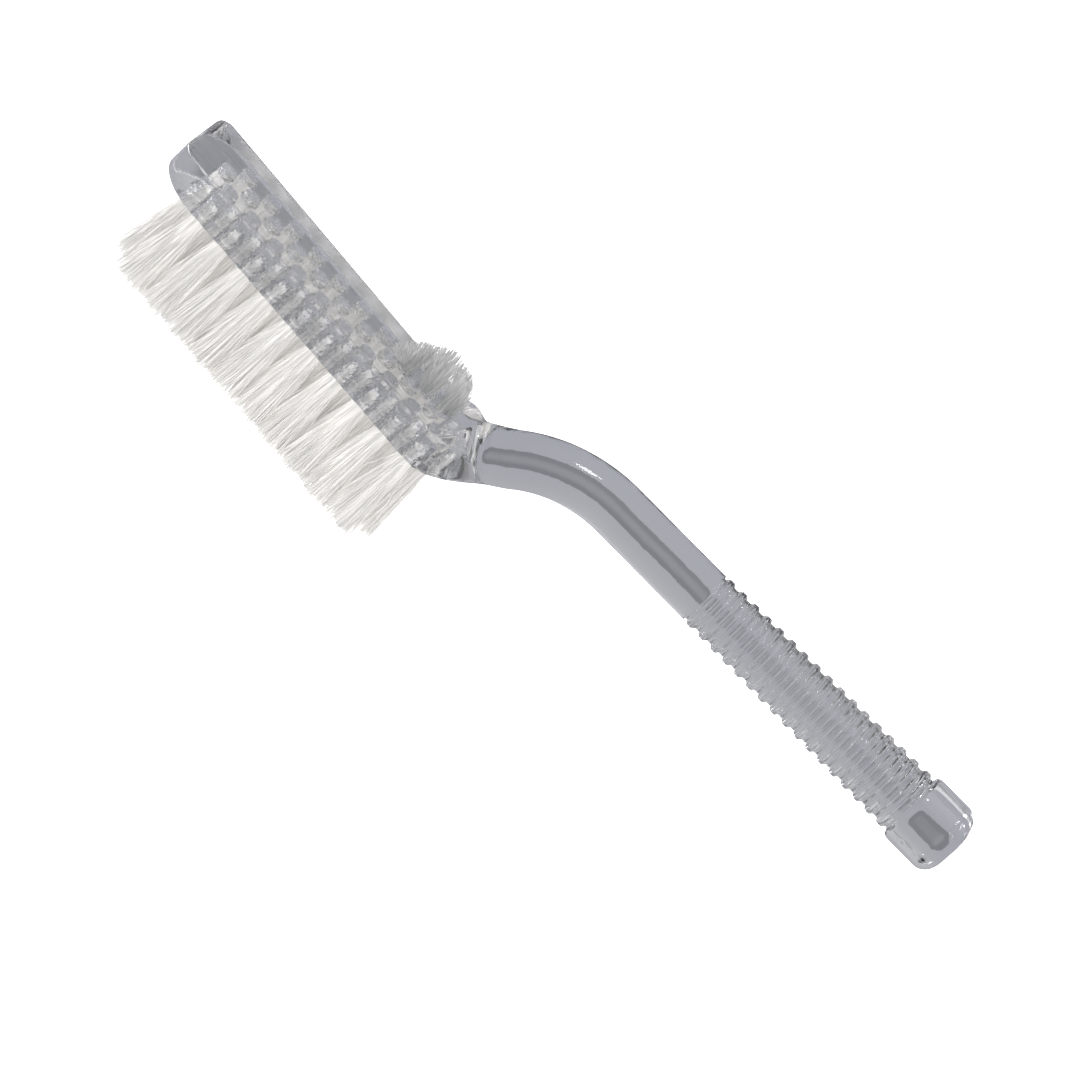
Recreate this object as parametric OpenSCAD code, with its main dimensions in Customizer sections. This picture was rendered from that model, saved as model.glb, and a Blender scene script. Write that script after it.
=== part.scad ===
// Clear acrylic nail brush with a bent handle, a ringed grip and nylon tufts.
// Millimetres. X runs from the head's tip to the handle's end, +Z is the back of the head,
// and the origin is on the plane of the bristle tips, halfway along the brush.

/* [Head] */
// Length of the head, from its tip to the start of the neck
head_l = 70; // [66:0.5:76]
// Width of the head near its tip
head_tip_w = 21.2; // [20:0.1:22]
// Width of the head near the neck
head_neck_w = 19.4; // [18.4:0.1:20]
// Thickness of the head
head_t = 7; // [6.8:0.1:8]
// Radius of the two corners at the tip
tip_corner_r = 4.5; // [3:0.5:6]
// Radius of the two shoulders at the neck
shoulder_r = 7.5; // [6:0.5:8.5]

/* [Tuft field] */
// Distance between tufts along a row
tuft_pitch = 5.8; // [5.6:0.1:6]
// Distance between neighbouring rows
row_gap = 5.3; // [5:0.1:5.6]
// Distance from the tip to the first tuft of the centre row
first_tuft_x = 7.8; // [7:0.1:8.5]
// Tufts in each outer row, one fewer than in the centre row
outer_tufts = 10; // [6:1:10]
// Diameter of a tuft hole
hole_d = 3.2; // [2.6:0.1:3.4]
// Depth of a tuft hole, which is drilled deeper than the tuft goes
hole_depth = 4.2; // [3.8:0.1:4.4]
// How far a tuft reaches into its hole
tuft_depth = 2.8; // [2.6:0.1:3.4]
// Free length of the bristles
bristle_l = 18.3; // [12:0.1:22]
// Diameter of a tuft at its trimmed end
tuft_tip_d = 5; // [3.4:0.1:5.2]

/* [Back tufts] */
// Number of short tufts on the back of the head
back_tufts = 3; // [1:1:3]
// Distance between the back tufts
back_pitch = 4.8; // [4.6:0.1:5]
// Distance from the tip to the middle of the back tufts
back_tufts_x = 56.4; // [50:0.1:57]
// Depth of a back tuft's hole
back_hole_depth = 2.3; // [2.2:0.1:2.3]
// How far a back tuft reaches into its hole
back_tuft_depth = 2.2; // [2.1:0.1:2.2]
// Free length of the middle back tuft
back_bristle_l = 8.2; // [5:0.1:10]
// How much shorter the outer back tufts are
back_trim = 1.6; // [0:0.1:3]
// Gap between the trimmed ends of neighbouring back tufts
back_gap = 0.3; // [0.1:0.1:0.6]

/* [Anchors] */
// Thickness of the flat wire that holds a tuft
anchor_t = 0.35; // [0.25:0.05:0.5]
// Height of that wire across its flat side
anchor_h = 1.4; // [1:0.1:1.5]
// How far the wire bites into the acrylic at each end
anchor_bite = 0.25; // [0.1:0.05:0.4]
// Thickness of the folded nylon between the wire and the inner end of the tuft
anchor_fold = 0.5; // [0.3:0.1:0.6]

/* [Neck] */
// Diameter of the neck where it leaves the head
neck_d = 9.4; // [8:0.1:10]
// Angle at which the neck climbs away from the head
neck_angle = 46; // [40:1:50]
// Height of the neck's centre above the head's face where the climb starts
neck_foot_z = 5.7; // [5.5:0.1:7]
// Length of the straight climb
climb_l = 7.5; // [5:0.5:10]
// Radius of the bend from the climb into the handle
bend_r = 27; // [20:1:32]

/* [Handle] */
// Diameter of the smooth handle
handle_d = 10; // [9:0.1:11]
// Upward tilt of the handle from the head
handle_tilt = 4.6; // [0:0.1:8]
// Length of the smooth stretch before the grip
smooth_l = 20.5; // [12:0.5:26]

/* [Grip] */
// Number of rings on the grip
rings = 17; // [10:1:20]
// Distance between rings
ring_pitch = 2.85; // [2.5:0.05:3.2]
// Width of a ring
ring_w = 1.5; // [1:0.1:1.8]
// Diameter of the first ring
first_ring_d = 10.3; // [9.8:0.1:11]
// Diameter of the last ring
last_ring_d = 11.8; // [10.5:0.1:12.2]
// Depth of the valleys between the rings
valley = 0.55; // [0.3:0.05:0.8]
// Length of the block at the end of the handle
end_l = 10.4; // [8:0.1:14]
// Diameter of that block
end_d = 12.2; // [11.5:0.1:14]
// Radius of the block's rounded edges
end_r = 2.6; // [1:0.1:4]

/* [Hidden] */
$fn = 48;
side_rows = ["left", "right"];
outer_first_x = first_tuft_x + tuft_pitch / 2;
centre_tufts = outer_tufts + 1;
back_first_x = back_tufts_x - back_pitch * (back_tufts - 1) / 2;
grip_l = ring_pitch * rings;
bead_r = ring_w / 2;
reach = smooth_l + grip_l + end_l;

// The neck's centre line, as [x, z] above the head's face, starting just inside the head
neck_inset = 0.2;
foot = [head_l - neck_inset, neck_foot_z];
bend_start = foot + climb_l * [cos(neck_angle), sin(neck_angle)];
bend_end = bend_start + bend_r * [
    sin(neck_angle) - sin(handle_tilt),
    cos(handle_tilt) - cos(neck_angle)
];
brush_l = bend_end[0] + reach * cos(handle_tilt) + sin(handle_tilt) * (end_d / 2 - end_r);

// The bend runs on into the straight stretches by this angle, and is thicker than they are by the swell
bend_lap = 0.6;
bend_swell = 0.1;

// A cut starts this far outside the face it cuts, and a thin slice has this thickness
overcut = 1;
slice = 0.1;

// A bead of the grip is round over this angle on each side of its crest
bead_sweep = 60;

// Each arc is drawn in this many steps
arc_steps = 6;
function arc(cx, cy, r, a0, a1) =
    [for (i = [0:arc_steps]) let (a = a0 + (a1 - a0) * i / arc_steps) [cx + r * cos(a), cy + r * sin(a)]];

function two_digits(i) = str(i < 10 ? "0" : "", i);
function side_name(row, i) = str(row, "_tuft_", two_digits(i + 1));
function centre_name(i) = str("centre_tuft_", two_digits(i + 1));
function back_name(i) = str("back_tuft_", two_digits(i + 1));

// How much less a back tuft stands up the further it is from the middle one
function back_length(i) = back_bristle_l - back_trim * pow(abs(i - (back_tufts - 1) / 2), 2);

// ---- Places ----

// From the design's own zero, at the tip and on the head's bristle face, to the part's origin
module placed() {
    translate([-brush_l / 2, 0, bristle_l]) children();
}

module at_side(row, i) {
    side = row == "left" ? -1 : 1;
    translate([outer_first_x + tuft_pitch * i, side * row_gap, 0]) children();
}

module at_centre(i) {
    translate([first_tuft_x + tuft_pitch * i, 0, 0]) children();
}

module at_back(i) {
    translate([back_first_x + back_pitch * i, 0, head_t]) mirror([0, 0, 1]) children();
}

module at_every_main_tuft() {
    for (row = side_rows, i = [0:outer_tufts - 1]) at_side(row, i) children();
    for (i = [0:centre_tufts - 1]) at_centre(i) children();
}

module at_every_back_tuft() {
    for (i = [0:back_tufts - 1]) at_back(i) children();
}

// ---- The moulded acrylic body ----

module head_outline() {
    tip_y = head_tip_w / 2 - tip_corner_r;
    neck_y = head_neck_w / 2 - shoulder_r;
    polygon(concat(
        arc(tip_corner_r, tip_y, tip_corner_r, 180, 90),
        arc(head_l - shoulder_r, neck_y, shoulder_r, 90, 0),
        arc(head_l - shoulder_r, -neck_y, shoulder_r, 0, -90),
        arc(tip_corner_r, -tip_y, tip_corner_r, -90, -180)
    ));
}

module head_slab() {
    linear_extrude(head_t) head_outline();
}

// Along the climb's centre line, which becomes the local +Z
module along_climb() {
    translate([foot[0], 0, foot[1]]) rotate([0, 90 - neck_angle, 0]) children();
}

// The stretch that swells from the flat head into the round neck
module shoulder() {
    hull() {
        intersection() {
            head_slab();
            translate([head_l - shoulder_r, -head_tip_w, 0]) cube([shoulder_r, 2 * head_tip_w, head_t]);
        }
        along_climb() cylinder(h = slice, d = neck_d);
    }
}

module climb() {
    along_climb() cylinder(h = climb_l, d1 = neck_d, d2 = handle_d);
}

module bend() {
    centre = bend_start + bend_r * [sin(neck_angle), -cos(neck_angle)];
    translate([centre[0], 0, centre[1]])
        rotate([90, 0, 0]) rotate([0, 0, 90 + handle_tilt - bend_lap])
        rotate_extrude(angle = neck_angle - handle_tilt + 2 * bend_lap)
        translate([bend_r, 0]) circle(d = handle_d + bend_swell);
}

// Along the handle's centre line, which becomes the local +Z
module along_handle() {
    translate([bend_end[0], 0, bend_end[1]]) rotate([0, 90 - handle_tilt, 0]) children();
}

function ring_r(i) = (first_ring_d + (last_ring_d - first_ring_d) * i / (rings - 1)) / 2;
function ring_arc(i) =
    let (r = ring_r(i), z = smooth_l + ring_pitch * (i + 0.5))
    concat(
        [[r - valley, z - ring_w / 2]],
        arc(r - bead_r, z, bead_r, -bead_sweep, bead_sweep),
        [[r - valley, z + ring_w / 2]]
    );

// The handle turned from one lengthwise section: smooth stretch, rings and end block
module handle() {
    edge_x = end_d / 2 - end_r;
    end_z = smooth_l + grip_l;
    along_handle() rotate_extrude() polygon(concat(
        [[0, 0], [handle_d / 2, 0], [handle_d / 2, smooth_l]],
        [for (i = [0:rings - 1]) each ring_arc(i)],
        arc(edge_x, end_z + end_r, end_r, -bead_sweep, 0),
        arc(edge_x, end_z + end_l - end_r, end_r, 0, 90),
        [[0, end_z + end_l]]
    ));
}

module tuft_hole(depth) {
    translate([0, 0, -overcut]) cylinder(h = depth + overcut, d = hole_d);
}

module acrylic_body() {
    color([0.82, 0.84, 0.88, 0.5]) difference() {
        placed() {
            head_slab();
            shoulder();
            climb();
            bend();
            handle();
        }
        placed() {
            at_every_main_tuft() tuft_hole(hole_depth);
            at_every_main_tuft() anchor(tuft_depth);
            at_every_back_tuft() tuft_hole(back_hole_depth);
            at_every_back_tuft() anchor(back_tuft_depth);
        }
    }
}

// ---- Tufts and the wires that hold them ----

// A short piece of flat wire across a hole, which a tuft of this depth is folded over
module anchor(depth) {
    l = hole_d + 2 * anchor_bite;
    translate([-l / 2, -anchor_t / 2, depth - anchor_h - anchor_fold]) cube([l, anchor_t, anchor_h]);
}

// A bundle of filaments: round in its hole, and spreading towards the trimmed end
module tuft(depth, free_l, tip_d) {
    color("white") difference() {
        union() {
            cylinder(h = depth, d = hole_d);
            translate([0, 0, -free_l]) cylinder(h = free_l, d1 = tip_d, d2 = hole_d);
        }
        anchor(depth);
    }
}

module main_tuft() {
    tuft(tuft_depth, bristle_l, tuft_tip_d);
}

module back_tuft(i) {
    tuft(back_tuft_depth, back_length(i), back_pitch - back_gap);
}

module tuft_anchors() {
    color("silver") placed() at_every_main_tuft() anchor(tuft_depth);
}

module back_tuft_anchors() {
    color("silver") placed() at_every_back_tuft() anchor(back_tuft_depth);
}

acrylic_body();
for (row = side_rows, i = [0:outer_tufts - 1])
    placed() at_side(row, i) main_tuft();
for (i = [0:centre_tufts - 1])
    placed() at_centre(i) main_tuft();
for (i = [0:back_tufts - 1])
    placed() at_back(i) back_tuft(i);
tuft_anchors();
back_tuft_anchors();
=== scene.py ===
"""The looks of a clear acrylic nail brush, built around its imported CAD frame.

The head, neck, handle and grip are one smooth moulding, swept along the brush's middle plane.
Every tuft is a bundle of nylon filaments folded over its anchor wire.
"""

import math
import random
from collections import namedtuple

import bmesh
import bpy
from mathutils import Matrix, Vector


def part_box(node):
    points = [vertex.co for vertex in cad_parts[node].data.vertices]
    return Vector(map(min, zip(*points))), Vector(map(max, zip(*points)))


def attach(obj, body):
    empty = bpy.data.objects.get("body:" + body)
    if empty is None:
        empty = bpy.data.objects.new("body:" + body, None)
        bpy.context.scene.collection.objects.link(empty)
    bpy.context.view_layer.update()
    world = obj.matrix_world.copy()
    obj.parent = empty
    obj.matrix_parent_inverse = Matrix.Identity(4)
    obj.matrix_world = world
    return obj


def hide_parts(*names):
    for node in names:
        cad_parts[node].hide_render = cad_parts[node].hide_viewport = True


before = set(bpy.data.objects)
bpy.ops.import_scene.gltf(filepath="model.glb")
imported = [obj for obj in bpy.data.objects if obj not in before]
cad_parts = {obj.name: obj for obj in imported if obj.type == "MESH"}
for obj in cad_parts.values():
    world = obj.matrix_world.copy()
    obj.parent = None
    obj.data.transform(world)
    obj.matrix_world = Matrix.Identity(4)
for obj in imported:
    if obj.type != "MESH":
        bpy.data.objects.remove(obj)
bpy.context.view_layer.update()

MM = 0.001
random.seed(7)

# ---- The design's own zero: the head's tip, on its bristle face ----

body_low, body_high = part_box("acrylic_body")
TIP_X = body_low[0]
FACE_Z = body_low[2]


def at(x, y, z):
    """A point given in millimetres from the design's zero, as a point of the frame."""
    return Vector((TIP_X + x * MM, y * MM, FACE_Z + z * MM))


# ---- Driving sizes, in millimetres ----

HEAD_T = 7.0
HEAD_TIP_HALF = 10.6
HEAD_NECK_HALF = 9.7
EDGE_R = 0.45
# The rounding at the tip, as its length along the head and how much width it takes off each side
TIP_ROUND_TOP = (2.6, 4.0)
TIP_ROUND_FACE = (8.6, 9.6)

HOLE_R = 1.6
HOLE_DEPTH = 4.2
TUFT_DEPTH = 2.8
BACK_HOLE_DEPTH = 2.3
BACK_TUFT_DEPTH = 2.2

NECK_R = 4.7
CURL_R = 12.0
CURL_START = 62.6
CLIMB_ANGLE = math.radians(46)
CURL_END = CURL_START + CURL_R * CLIMB_ANGLE
SHOULDER_START = 63.0
SHOULDER_END = 72.5
WEB_START = 59.0
WEB_END = 79.0
WEB_H = 1.5
CLIMB_L = 5.43
BEND_R = 27.0
HANDLE_TILT = math.radians(4.6)
HANDLE_R = 5.0
SMOOTH_L = 20.5

RINGS = 17
RING_PITCH = 2.85
FIRST_RING_R = 5.1
LAST_RING_R = 5.75
VALLEY = 0.55
# Half the width of a ring's flat top and of its foot, as shares of the pitch
RING_TOP = 0.15
RING_FOOT = 0.36
# The rings' corners as a share of their radius, and how much narrower a square ring is than a round one
FIRST_RING_ROUND = 0.9
LAST_RING_ROUND = 0.7
SQUARE_SHRINK = 0.9
END_L = 10.4
END_R = 6.0
END_ROUND = 3.0
END_SWELL = 1.6
END_CORNER = 0.62


# ---- Small helpers ----

def smooth_step(t):
    t = min(max(t, 0.0), 1.0)
    return t * t * (3 - 2 * t)


def mix(a, b, t):
    return a + (b - a) * t


def new_object(name, bm, materials):
    mesh = bpy.data.meshes.new(name)
    bm.to_mesh(mesh)
    bm.free()
    mesh.shade_smooth()
    obj = bpy.data.objects.new(name, mesh)
    bpy.context.scene.collection.objects.link(obj)
    for material in materials:
        mesh.materials.append(material)
    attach(obj, "root")
    return obj


# ---- Materials ----

def new_material(name):
    material = bpy.data.materials.new(name)
    material.use_nodes = True
    nodes = material.node_tree.nodes
    return material, nodes, material.node_tree.links, nodes["Principled BSDF"]


def add_noise(nodes, links, scale, detail=3.0, stretch=(1, 1, 1)):
    """Noise in the object's own space, stretched along its axes."""
    place = nodes.new("ShaderNodeTexCoord")
    mapping = nodes.new("ShaderNodeMapping")
    mapping.inputs["Scale"].default_value = stretch
    noise = nodes.new("ShaderNodeTexNoise")
    noise.inputs["Scale"].default_value = scale
    noise.inputs["Detail"].default_value = detail
    links.new(place.outputs["Object"], mapping.inputs["Vector"])
    links.new(mapping.outputs["Vector"], noise.inputs["Vector"])
    return noise


def add_ramp(nodes, links, source, low, high, start=0.35, end=0.65):
    ramp = nodes.new("ShaderNodeValToRGB")
    ramp.color_ramp.elements[0].position = start
    ramp.color_ramp.elements[0].color = low
    ramp.color_ramp.elements[1].position = end
    ramp.color_ramp.elements[1].color = high
    links.new(source.outputs["Fac"], ramp.inputs["Fac"])
    return ramp


def add_bump(nodes, links, shader, source, strength, distance):
    bump = nodes.new("ShaderNodeBump")
    bump.inputs["Strength"].default_value = strength
    bump.inputs["Distance"].default_value = distance
    links.new(source.outputs["Fac"], bump.inputs["Height"])
    links.new(bump.outputs["Normal"], shader.inputs["Normal"])


def add_roughness(nodes, links, shader, source, low, high):
    spread = nodes.new("ShaderNodeMapRange")
    spread.inputs["To Min"].default_value = low
    spread.inputs["To Max"].default_value = high
    links.new(source.outputs["Fac"], spread.inputs["Value"])
    links.new(spread.outputs["Result"], shader.inputs["Roughness"])


# The head's far long side is satin, from this far off the middle plane in millimetres
SATIN_SIDE = (9.2, 9.5)
# So is the wall at its tip, up to this far along the head
SATIN_TIP = (0.5, 1.2)
POLISHED = 0.015
SIDE_ROUGHNESS = 0.4
TIP_ROUGHNESS = 0.3
ACRYLIC_IOR = 1.49
NYLON_IOR = 1.53


def polished_acrylic():
    """Clear moulded acrylic, faintly wavy, with a satin far side and tip."""
    material, nodes, links, shader = new_material("polished_acrylic")
    shader.inputs["Transmission Weight"].default_value = 1.0
    shader.inputs["IOR"].default_value = ACRYLIC_IOR
    flow = add_noise(nodes, links, 90, 2.0, (0.5, 1, 1))
    tint = add_ramp(nodes, links, flow, (0.96, 0.965, 0.985, 1), (0.99, 0.995, 1.0, 1))
    links.new(tint.outputs["Color"], shader.inputs["Base Color"])
    lines = add_noise(nodes, links, 420, 4.0, (0.25, 1, 1))
    add_bump(nodes, links, shader, lines, 0.3, 0.0003)
    place = nodes.new("ShaderNodeTexCoord")
    split = nodes.new("ShaderNodeSeparateXYZ")
    satin = nodes.new("ShaderNodeMapRange")
    satin.inputs["From Min"].default_value = SATIN_SIDE[0] * MM
    satin.inputs["From Max"].default_value = SATIN_SIDE[1] * MM
    satin.inputs["To Min"].default_value = POLISHED
    satin.inputs["To Max"].default_value = SIDE_ROUGHNESS
    tip = nodes.new("ShaderNodeMapRange")
    tip.inputs["From Min"].default_value = TIP_X + SATIN_TIP[0] * MM
    tip.inputs["From Max"].default_value = TIP_X + SATIN_TIP[1] * MM
    tip.inputs["To Min"].default_value = TIP_ROUGHNESS
    tip.inputs["To Max"].default_value = POLISHED
    rougher = nodes.new("ShaderNodeMath")
    rougher.operation = "MAXIMUM"
    links.new(place.outputs["Object"], split.inputs["Vector"])
    links.new(split.outputs["Y"], satin.inputs["Value"])
    links.new(split.outputs["X"], tip.inputs["Value"])
    links.new(satin.outputs["Result"], rougher.inputs[0])
    links.new(tip.outputs["Result"], rougher.inputs[1])
    links.new(rougher.outputs["Value"], shader.inputs["Roughness"])
    return material


def drilled_acrylic():
    """The wall of a drilled hole: the same plastic, chipped and a little cloudy, with painted shade: its tint
    is darker and bluer than the body's.
    """
    material, nodes, links, shader = new_material("drilled_acrylic")
    shader.inputs["Transmission Weight"].default_value = 1.0
    shader.inputs["IOR"].default_value = ACRYLIC_IOR
    chip_marks_and_shade = add_noise(nodes, links, 2400, 3.0, (1, 1, 0.5))
    # Painted shade: the hole walls' tint runs from a darker bluish grey up to white, so the holes look
    # shaded.
    tint = add_ramp(nodes, links, chip_marks_and_shade, (0.72, 0.745, 0.82, 1), (1.0, 1.0, 1.0, 1))
    links.new(tint.outputs["Color"], shader.inputs["Base Color"])
    add_roughness(nodes, links, shader, chip_marks_and_shade, 0.0, 0.07)
    add_bump(nodes, links, shader, chip_marks_and_shade, 0.9, 0.0002)
    return material


def nylon(name, low, high):
    """Nylon filaments: a little see-through, each slightly different, with painted shade: darker streaks
    along them stand in for the shade between filaments.
    """
    material, nodes, links, shader = new_material(name)
    shade = add_noise(nodes, links, 1800, 3.0, (1, 1, 0.04))
    # Painted shade: the dark end of this tint paints the shade between filaments, which cast no shadows. The
    # rest is random tone from filament to filament.
    tint = add_ramp(nodes, links, shade, low, high)
    links.new(tint.outputs["Color"], shader.inputs["Base Color"])
    shader.inputs["IOR"].default_value = NYLON_IOR
    shader.inputs["Transmission Weight"].default_value = 0.25
    shader.inputs["Sheen Weight"].default_value = 0.2
    add_roughness(nodes, links, shader, shade, 0.25, 0.45)
    return material


def anchor_wire():
    """Drawn flat steel wire, bright with fine lengthwise lines."""
    material, nodes, links, shader = new_material("anchor_wire")
    lines = add_noise(nodes, links, 1500, 3.0, (0.1, 1, 1))
    tint = add_ramp(nodes, links, lines, (0.52, 0.52, 0.52, 1), (0.80, 0.80, 0.79, 1))
    links.new(tint.outputs["Color"], shader.inputs["Base Color"])
    shader.inputs["Metallic"].default_value = 1.0
    add_roughness(nodes, links, shader, lines, 0.18, 0.35)
    return material


# ---- The acrylic body: sections swept along the middle plane ----

# tuck is how much narrower the section is along its lower side
Station = namedtuple("Station", "x z angle half_w half_h corner tuck", defaults=(0.0,))
CORNER_STEPS = 12
LEAST_FLAT = 0.08


def section(station):
    """The outline of one cross-section: a rounded rectangle square to the path."""
    corner = min(station.corner, station.half_w - LEAST_FLAT, station.half_h - LEAST_FLAT)
    along_up = Vector((-math.sin(station.angle), 0, math.cos(station.angle)))
    points = []
    for quarter, (side, up) in enumerate([(1, 1), (-1, 1), (-1, -1), (1, -1)]):
        for step in range(CORNER_STEPS + 1):
            a = math.pi / 2 * (quarter + step / CORNER_STEPS)
            across = side * (station.half_w - corner) + corner * math.cos(a)
            rise = up * (station.half_h - corner) + corner * math.sin(a)
            lowness = (station.half_h - rise) / (2 * station.half_h)
            across *= 1 - lowness * station.tuck / station.half_w
            place = Vector((station.x, across, station.z)) + along_up * rise
            points.append(at(*place))
    return points


def head_half_width(x, tip_round):
    """Half the head's width: tapering to the neck, and rounded off at the tip."""
    full = mix(HEAD_TIP_HALF, HEAD_NECK_HALF, x / CURL_START)
    length, round_off = tip_round
    t = max(1 - x / length, 0)
    return full - round_off * (1 - math.sqrt(1 - t * t))


def shoulder_half_width(s):
    """Past the tuft field, s runs along the path and the width falls to the neck's."""
    t = min(max((s - SHOULDER_START) / (SHOULDER_END - SHOULDER_START), 0.0), 1.0)
    return mix(NECK_R, HEAD_NECK_HALF, (1 - t ** 2) ** 2)


def webbed(station, s):
    """Raises the section's upper side by the fillet between the head's back and the neck."""
    if not WEB_START < s < WEB_END:
        return station
    web = WEB_H * math.sin(math.pi * (s - WEB_START) / (WEB_END - WEB_START)) ** 2
    return station._replace(
        x=station.x - web / 2 * math.sin(station.angle),
        z=station.z + web / 2 * math.cos(station.angle),
        half_h=station.half_h + web / 2,
    )


def edge_inset(x):
    """How much the tip's rounded edge takes off the head's half thickness at x."""
    if x >= EDGE_R:
        return 0.0
    return EDGE_R - math.sqrt(EDGE_R ** 2 - (EDGE_R - x) ** 2)


def head_stations():
    stations = []
    length = TIP_ROUND_FACE[0]
    edge = [EDGE_R * (1 - math.cos(math.pi / 2 * i / 6)) for i in range(7)]
    tip = [mix(EDGE_R, length, (i / 24) ** 1.5) for i in range(1, 25)]
    field = [mix(length, CURL_START, i / 40) for i in range(1, 40)]
    for x in edge + tip + field:
        inset = edge_inset(x)
        half_w = head_half_width(x, TIP_ROUND_TOP)
        tuck = max(half_w - head_half_width(x, TIP_ROUND_FACE), 0)
        station = Station(x, HEAD_T / 2, 0, half_w - inset, HEAD_T / 2 - inset, EDGE_R, tuck)
        stations.append(webbed(station, x))
    return stations


def curl_stations():
    """The shoulder: the path curls up from the head while its section becomes round."""
    stations = []
    for i in range(21):
        angle = CLIMB_ANGLE * i / 20
        s = CURL_START + CURL_R * angle
        t = smooth_step((s - SHOULDER_START) / (CURL_END - SHOULDER_START))
        x = CURL_START + CURL_R * math.sin(angle)
        z = HEAD_T / 2 + CURL_R * (1 - math.cos(angle))
        half_h = mix(HEAD_T / 2, NECK_R, t)
        half_w = shoulder_half_width(s)
        corner = mix(EDGE_R, NECK_R, t)
        stations.append(webbed(Station(x, z, angle, half_w, half_h, corner), s))
    return stations


def neck_stations():
    stations = []
    foot_x = CURL_START + CURL_R * math.sin(CLIMB_ANGLE)
    foot_z = HEAD_T / 2 + CURL_R * (1 - math.cos(CLIMB_ANGLE))
    for i in range(1, 15):
        t = i / 14
        r = mix(NECK_R, HANDLE_R, smooth_step(t))
        s = CURL_END + CLIMB_L * t
        x = foot_x + CLIMB_L * t * math.cos(CLIMB_ANGLE)
        z = foot_z + CLIMB_L * t * math.sin(CLIMB_ANGLE)
        half_w = max(shoulder_half_width(s), r)
        stations.append(webbed(Station(x, z, CLIMB_ANGLE, half_w, r, r), s))
    start = stations[-1]
    for i in range(1, 31):
        angle = mix(CLIMB_ANGLE, HANDLE_TILT, i / 30)
        x = start.x + BEND_R * (math.sin(CLIMB_ANGLE) - math.sin(angle))
        z = start.z + BEND_R * (math.cos(angle) - math.cos(CLIMB_ANGLE))
        stations.append(Station(x, z, angle, HANDLE_R, HANDLE_R, HANDLE_R))
    return stations


def ring_radius(s):
    """The grip's radius s past the smooth stretch: flat-topped rings with scooped valleys between."""
    peak = mix(FIRST_RING_R, LAST_RING_R, s / (RINGS * RING_PITCH))
    off_crest = abs((s / RING_PITCH) % 1.0 - 0.5)
    flank = smooth_step((off_crest - RING_TOP) / (RING_FOOT - RING_TOP))
    return peak - VALLEY * flank


def along_handle(start, s):
    return start.x + s * math.cos(HANDLE_TILT), start.z + s * math.sin(HANDLE_TILT)


def handle_stations(start):
    stations = []
    for i in range(1, 21):
        x, z = along_handle(start, SMOOTH_L * i / 20)
        stations.append(Station(x, z, HANDLE_TILT, HANDLE_R, HANDLE_R, HANDLE_R))
    steps = 20
    for i in range(RINGS * steps + 1):
        s = RING_PITCH * i / steps
        x, z = along_handle(start, SMOOTH_L + s)
        r = ring_radius(s)
        roundness = mix(FIRST_RING_ROUND, LAST_RING_ROUND, s / (RINGS * RING_PITCH))
        half = r * mix(SQUARE_SHRINK, 1.0, roundness)
        stations.append(Station(x, z, HANDLE_TILT, half, half, r * roundness))
    return stations


def end_stations(start):
    """The block at the end: it swells out of the last valley, and its edges are rounded."""
    stations = []
    origin = SMOOTH_L + RINGS * RING_PITCH
    straight = END_L - END_ROUND
    places = []
    for i in range(1, 17):
        s = straight * i / 16
        swell = math.sqrt(1 - (1 - min(s / END_SWELL, 1.0)) ** 2)
        places.append((s, mix(ring_radius(RINGS * RING_PITCH), END_R, swell)))
    for i in range(1, 13):
        a = math.pi / 2 * i / 12
        places.append((straight + END_ROUND * math.sin(a), END_R - END_ROUND * (1 - math.cos(a))))
    for s, half in places:
        x, z = along_handle(start, origin + s)
        stations.append(Station(x, z, HANDLE_TILT, half, half, half * END_CORNER))
    return stations


def body_stations():
    stations = head_stations() + curl_stations()
    stations += neck_stations()
    bend_end = stations[-1]
    return stations + handle_stations(bend_end) + end_stations(bend_end)


def swept_body():
    bm = bmesh.new()
    rings = [[bm.verts.new(p) for p in section(s)] for s in body_stations()]
    count = len(rings[0])
    for low, high in zip(rings, rings[1:]):
        for i in range(count):
            j = (i + 1) % count
            bm.faces.new((low[i], low[j], high[j], high[i]))
    bm.faces.new(list(reversed(rings[0])))
    bm.faces.new(rings[-1])
    bmesh.ops.recalc_face_normals(bm, faces=bm.faces)
    return bm


# ---- Tuft places, read from the CAD frame ----

def tuft_nodes():
    return sorted(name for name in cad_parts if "_tuft_" in name and "anchors" not in name)


def tuft_foot(node):
    """Where a tuft leaves the acrylic, and which way it points."""
    low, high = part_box(node)
    x, y = (low[0] + high[0]) / 2, (low[1] + high[1]) / 2
    if node.startswith("back"):
        return Vector((x, y, FACE_Z + HEAD_T * MM)), 1
    return Vector((x, y, FACE_Z)), -1


DRILL_SIDES = 18
DRILL_RINGS = 9
OVERCUT = 1.0
CHIP = 0.1


def drill(bm, foot, way, depth):
    """One drill-shaped cutter with a chipped surface, which leaves a wall of small facets."""
    rings = []
    heights = [-OVERCUT] + [depth / MM * i / DRILL_RINGS for i in range(DRILL_RINGS + 1)]
    for h in heights:
        ring = []
        for k in range(DRILL_SIDES):
            a = 2 * math.pi * (k + 0.5 * (len(rings) % 2)) / DRILL_SIDES
            r = HOLE_R + (random.uniform(-CHIP, CHIP) if h > 0 else 0)
            ring.append(bm.verts.new(foot + Vector((r * math.cos(a), r * math.sin(a), -way * h)) * MM))
        rings.append(ring)
    for low, high in zip(rings, rings[1:]):
        for k in range(DRILL_SIDES):
            j = (k + 1) % DRILL_SIDES
            bm.faces.new((low[k], low[j], high[j], high[k]))
    bm.faces.new(list(reversed(rings[0])))
    bm.faces.new(rings[-1])


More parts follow.
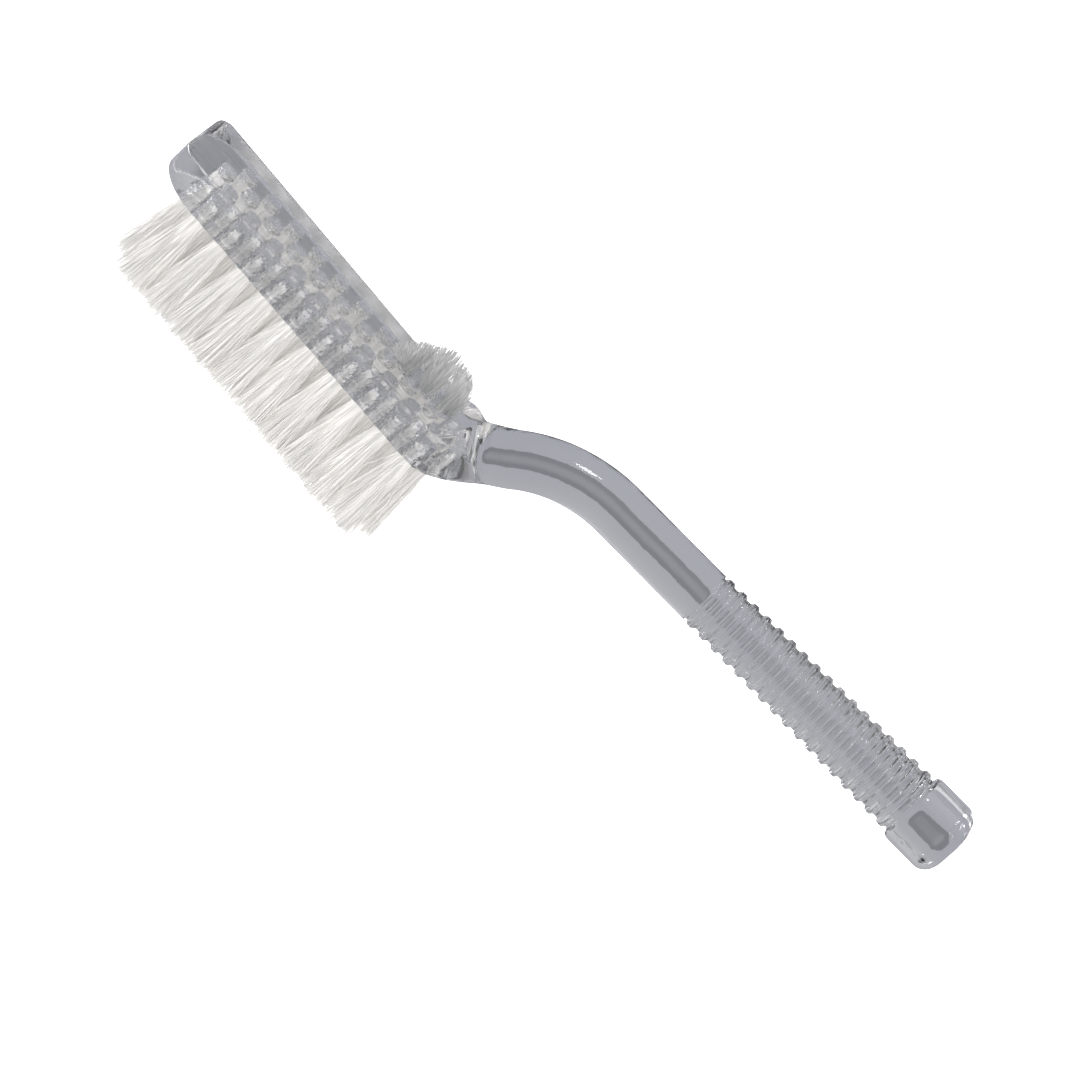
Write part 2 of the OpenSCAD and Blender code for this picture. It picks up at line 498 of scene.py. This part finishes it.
def drilled(body, hole_material):
    """Cuts every tuft's hole, and gives the hole's wall its own chipped finish."""
    bm = bmesh.new()
    feet = []
    for node in tuft_nodes():
        foot, way = tuft_foot(node)
        depth = (BACK_HOLE_DEPTH if way > 0 else HOLE_DEPTH) * MM
        drill(bm, foot, way, depth)
        feet.append((foot, way, depth))
    bmesh.ops.triangulate(bm, faces=bm.faces)
    bmesh.ops.recalc_face_normals(bm, faces=bm.faces)
    mesh = bpy.data.meshes.new("drills")
    bm.to_mesh(mesh)
    bm.free()
    drills = bpy.data.objects.new("drills", mesh)
    bpy.context.scene.collection.objects.link(drills)
    cut = body.modifiers.new("holes", "BOOLEAN")
    cut.operation = "DIFFERENCE"
    cut.solver = "EXACT"
    cut.object = drills
    evaluated = body.evaluated_get(bpy.context.evaluated_depsgraph_get())
    result = bpy.data.meshes.new_from_object(evaluated)
    body.modifiers.clear()
    old = body.data
    body.data = result
    bpy.data.meshes.remove(old)
    bpy.data.objects.remove(drills)
    result.materials.append(hole_material)
    for face in result.polygons:
        for foot, way, depth in feet:
            offset = face.center - foot
            inside = math.hypot(offset.x, offset.y) < (HOLE_R + CHIP) * MM
            if inside and -1e-6 < -way * offset.z < depth * 1.02 and (
                    abs(face.normal.z) < 0.5 or -way * offset.z > depth * 0.98):
                face.material_index = 1
                break
    result.shade_smooth()
    result.set_sharp_from_angle(angle=math.radians(38))
    for face in result.polygons:
        face.use_smooth = face.material_index == 0


# ---- Tufts: filaments folded over an anchor wire ----

FILAMENTS = 170
BACK_FILAMENTS = 130
FILAMENT_R = 0.075
BACK_FILAMENT_R = 0.06
SIDES = 4
# Least distance of a filament from the hole's wall, and of its halves from the hole's middle line
WALL_GAP = 0.16
WIRE_GAP = 0.32
# How far short of the tuft's full depth a filament's halves end, and its fold lies
HALF_SHORT = 0.9
FOLD_SHORT = 0.2
# Places along a filament's half, from its tip (1) to the face of the head (0)
STRAND_STEPS = (1.0, 0.72, 0.42, 0.16, 0.0)
# Random spreads: how far a tip is thrown out, scattered, bowed and cut short, in millimetres or shares
REACH = (0.92, 1.1)
TIP_SCATTER = (0.35, 0.3)
BOW = 0.12
TRIM_SCATTER = 0.1
LEAN_SCATTER = 0.2
STRAY_SHARE = 0.035
STRAY_SCATTER = (1.5, 1.2)
# How much wider a tuft is at its tips than at its root, along and across the head
SPLAY = (2.65, 1.9)
BACK_SPLAY = (2.2, 1.9)

# The dome that the back tufts are trimmed to: its height above the head and its highest place
DOME_H = 7.9
DOME_X = 56.5
DOME_CURVE = 0.085
BACK_LEANS = (-1.9, -2.0, -1.0)


def tube(bm, points, radius):
    """A thin tube with four sides along the points, closed at both ends."""
    rings = []
    for i, p in enumerate(points):
        ahead = points[min(i + 1, len(points) - 1)] - points[max(i - 1, 0)]
        ahead.normalize()
        side = ahead.cross(Vector((0.31, 0.95, 0.05))).normalized()
        up = ahead.cross(side)
        ring = []
        for k in range(SIDES):
            a = 2 * math.pi * (k + 0.5) / SIDES
            ring.append(bm.verts.new(p + (side * math.cos(a) + up * math.sin(a)) * radius))
        rings.append(ring)
    for low, high in zip(rings, rings[1:]):
        for k in range(SIDES):
            j = (k + 1) % SIDES
            bm.faces.new((low[k], low[j], high[j], high[k]))
    bm.faces.new(list(reversed(rings[0])))
    bm.faces.new(rings[-1])


def strand(foot, way, depth, root, tip, tip_z, bow):
    """The points of one half of a filament, from its trimmed tip up to its fold."""
    points = []
    for t in STRAND_STEPS:
        spread = t ** 1.15
        x = mix(root[0], tip[0], spread) + bow[0] * math.sin(math.pi * t)
        y = mix(root[1], tip[1], spread) + bow[1] * math.sin(math.pi * t)
        points.append(foot + Vector((x * MM, y * MM, way * tip_z * t)))
    inner = depth - HALF_SHORT * MM
    points.append(foot + Vector((root[0] * MM, root[1] * MM, -way * inner)))
    return points


def bundle(node, count, radius, splay, lean, trim):
    """One tuft. splay is how far its tips spread, lean tips it over, trim gives a tip's height in mm."""
    foot, way = tuft_foot(node)
    depth = (BACK_TUFT_DEPTH if way > 0 else TUFT_DEPTH) * MM
    bm = bmesh.new()
    for _ in range(count):
        halves = []
        for side in (1, -1):
            r = (HOLE_R - WALL_GAP) * math.sqrt(random.random())
            a = random.uniform(0.06, math.pi - 0.06)
            root = (r * math.cos(a), side * max(r * math.sin(a), WIRE_GAP))
            reach = random.uniform(*REACH)
            tip = (root[0] * splay[0] * reach + lean[0] + random.gauss(0, TIP_SCATTER[0]),
                   root[1] * splay[1] * reach + lean[1] + random.gauss(0, TIP_SCATTER[1]))
            if random.random() < STRAY_SHARE:
                tip = (tip[0] + random.gauss(0, STRAY_SCATTER[0]), tip[1] + random.gauss(0, STRAY_SCATTER[1]))
            bow = (random.gauss(0, BOW), random.gauss(0, BOW))
            tip_z = (trim((foot.x - TIP_X) / MM + tip[0]) - abs(random.gauss(0, TRIM_SCATTER))) * MM
            halves.append(strand(foot, way, depth, root, tip, tip_z, bow))
        fold = (halves[0][-1] + halves[1][-1]) / 2
        fold.z = foot.z - way * (depth - FOLD_SHORT * MM)
        tube(bm, halves[0] + [fold] + list(reversed(halves[1])), radius * MM)
    return bm


def main_trim(x):
    """The main tufts are trimmed level with the bristle tips' plane, wherever a tip's x is."""
    return FACE_Z / MM


def back_trim(x):
    """The back tufts are trimmed together to one dome."""
    return DOME_H - DOME_CURVE * (x - DOME_X) ** 2


def make_tufts():
    white = nylon("white_nylon", (0.63, 0.62, 0.60, 1), (0.92, 0.905, 0.88, 1))
    grey = nylon("back_nylon", (0.38, 0.38, 0.385, 1), (0.68, 0.68, 0.67, 1))
    for node in tuft_nodes():
        back = node.startswith("back")
        if back:
            lean = (BACK_LEANS[int(node[-2:]) - 1], 0)
            bm = bundle(node, BACK_FILAMENTS, BACK_FILAMENT_R, BACK_SPLAY, lean, back_trim)
        else:
            lean = (random.gauss(0, LEAN_SCATTER), random.gauss(0, LEAN_SCATTER))
            bm = bundle(node, FILAMENTS, FILAMENT_R, SPLAY, lean, main_trim)
        piece = new_object("filaments_" + node, bm, [grey if back else white])
        piece.visible_shadow = False
        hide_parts(node)


# ---- Studio ----

VIEW_AZIMUTH = math.radians(4.34)
VIEW_ELEVATION = math.radians(24.17)
VIEW_ROLL = math.radians(51.2)
VIEW_DISTANCE = 0.9
VIEW_LENS = 180
VIEW_TARGET = at(87.9, -1.1, 5.45)


def view_direction():
    return Vector((
        math.sin(VIEW_AZIMUTH) * math.cos(VIEW_ELEVATION),
        math.cos(VIEW_AZIMUTH) * math.cos(VIEW_ELEVATION),
        -math.sin(VIEW_ELEVATION),
    ))


def make_camera():
    data = bpy.data.cameras.new("camera")
    data.lens = VIEW_LENS
    data.sensor_width = 36
    data.clip_end = 50
    camera = bpy.data.objects.new("camera", data)
    bpy.context.scene.collection.objects.link(camera)
    look = view_direction()
    level = look.cross(Vector((0, 0, 1))).normalized()
    upright = level.cross(look)
    right = level * math.cos(VIEW_ROLL) + upright * math.sin(VIEW_ROLL)
    up = upright * math.cos(VIEW_ROLL) - level * math.sin(VIEW_ROLL)
    turn = Matrix((right, up, -look)).transposed()
    camera.matrix_world = Matrix.Translation(VIEW_TARGET - look * VIEW_DISTANCE) @ turn.to_4x4()
    bpy.context.scene.camera = camera


FLOOR_HALF = 6.0
FLOOR_DROP = 0.0005


def make_floor():
    bm = bmesh.new()
    corners = [(x * FLOOR_HALF, y * FLOOR_HALF) for x, y in ((-1, -1), (1, -1), (1, 1), (-1, 1))]
    bm.faces.new([bm.verts.new((x, y, 0)) for x, y in corners])
    mesh = bpy.data.meshes.new("floor")
    bm.to_mesh(mesh)
    bm.free()
    floor = bpy.data.objects.new("floor", mesh)
    floor.location.z = -FLOOR_DROP
    bpy.context.scene.collection.objects.link(floor)
    material, _, _, shader = new_material("pale_floor")
    shader.inputs["Base Color"].default_value = (0.9, 0.9, 0.9, 1)
    shader.inputs["Roughness"].default_value = 0.9
    shader.inputs["Specular IOR Level"].default_value = 0.0
    shader.inputs["Emission Color"].default_value = (1, 1, 1, 1)
    shader.inputs["Emission Strength"].default_value = 1.0
    mesh.materials.append(material)
    floor.visible_transmission = False
    floor.visible_glossy = False


def make_light(name, place, target, size, power):
    data = bpy.data.lights.new(name, "AREA")
    data.shape = "SQUARE"
    data.size = size
    data.energy = power
    light = bpy.data.objects.new(name, data)
    light.location = place
    light.rotation_euler = (Vector(target) - Vector(place)).to_track_quat("-Z", "Y").to_euler()
    bpy.context.scene.collection.objects.link(light)
    return light


# Brightness of the room round the brush, from straight down to straight up (0 to 1)
ROOM = [
    (0.0, (0.36, 0.37, 0.41, 1)),
    (0.5, (0.40, 0.40, 0.43, 1)),
    (0.72, (0.44, 0.44, 0.46, 1)),
    (1.0, (0.95, 0.95, 0.95, 1)),
]

# A dark card stands behind the brush: colours by degrees off the line of view, fading at its edge
CARD_REACH = 14.0
CARD = [
    (0.0, (0.28, 0.285, 0.305, 1)),
    (4.0, (0.25, 0.255, 0.275, 1)),
    (7.0, (0.20, 0.205, 0.225, 1)),
    (11.0, (0.20, 0.205, 0.225, 1)),
    (11.7, (0.34, 0.345, 0.36, 0.9)),
    (12.6, (0.42, 0.42, 0.44, 0)),
]


def set_stops(ramp, stops):
    for position, _ in stops[1:-1]:
        ramp.elements.new(position)
    for element, (position, colour) in zip(ramp.elements, stops):
        element.position = position
        element.color = colour


def make_world():
    world = bpy.data.worlds.new("studio")
    world.use_nodes = True
    nodes, links = world.node_tree.nodes, world.node_tree.links
    place = nodes.new("ShaderNodeTexCoord")
    split = nodes.new("ShaderNodeSeparateXYZ")
    sky = nodes.new("ShaderNodeValToRGB")
    links.new(place.outputs["Generated"], split.inputs["Vector"])
    half = nodes.new("ShaderNodeMapRange")
    half.inputs["From Min"].default_value = -1.0
    links.new(split.outputs["Z"], half.inputs["Value"])
    links.new(half.outputs["Result"], sky.inputs["Fac"])
    set_stops(sky.color_ramp, ROOM)
    behind = nodes.new("ShaderNodeVectorMath")
    behind.operation = "DOT_PRODUCT"
    behind.inputs[1].default_value = view_direction()
    links.new(place.outputs["Generated"], behind.inputs[0])
    nearness = nodes.new("ShaderNodeMapRange")
    nearness.inputs["From Min"].default_value = 1.0
    nearness.inputs["From Max"].default_value = math.cos(math.radians(CARD_REACH))
    links.new(behind.outputs["Value"], nearness.inputs["Value"])
    card = nodes.new("ShaderNodeValToRGB")
    set_stops(card.color_ramp, [((angle / CARD_REACH) ** 2, colour) for angle, colour in CARD])
    links.new(nearness.outputs["Result"], card.inputs["Fac"])
    blend = nodes.new("ShaderNodeMix")
    blend.data_type = "RGBA"
    links.new(card.outputs["Alpha"], blend.inputs["Factor"])
    links.new(sky.outputs["Color"], blend.inputs["A"])
    links.new(card.outputs["Color"], blend.inputs["B"])
    links.new(blend.outputs["Result"], nodes["Background"].inputs["Color"])
    bpy.context.scene.world = world


def make_studio():
    make_camera()
    make_floor()
    make_world()
    for softbox in (make_light("overhead", (0.1, 0.2, 1.1), (0, 0, 0), 0.9, 7),
                    make_light("front_fill", (-0.6, -1.0, 0.5), (0, 0, 0.02), 0.8, 4)):
        softbox.visible_glossy = False
        softbox.visible_transmission = False
    make_light("key_spark", (-0.35, -0.25, 0.8), (0.02, 0, 0.03), 0.16, 1.2)
    make_light("rim_spark", (0.45, 0.5, 0.6), (0.02, 0, 0.03), 0.12, 0.8)
    bpy.context.scene.view_settings.view_transform = "Standard"


# ---- Assembly ----

acrylic = polished_acrylic()
body = new_object("clear_body", swept_body(), [acrylic])
body.visible_shadow = False
drilled(body, drilled_acrylic())
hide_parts("acrylic_body")
make_tufts()
wire = anchor_wire()
for anchors in ("tuft_anchors", "back_tuft_anchors"):
    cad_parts[anchors].data.materials.clear()
    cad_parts[anchors].data.materials.append(wire)
make_studio()
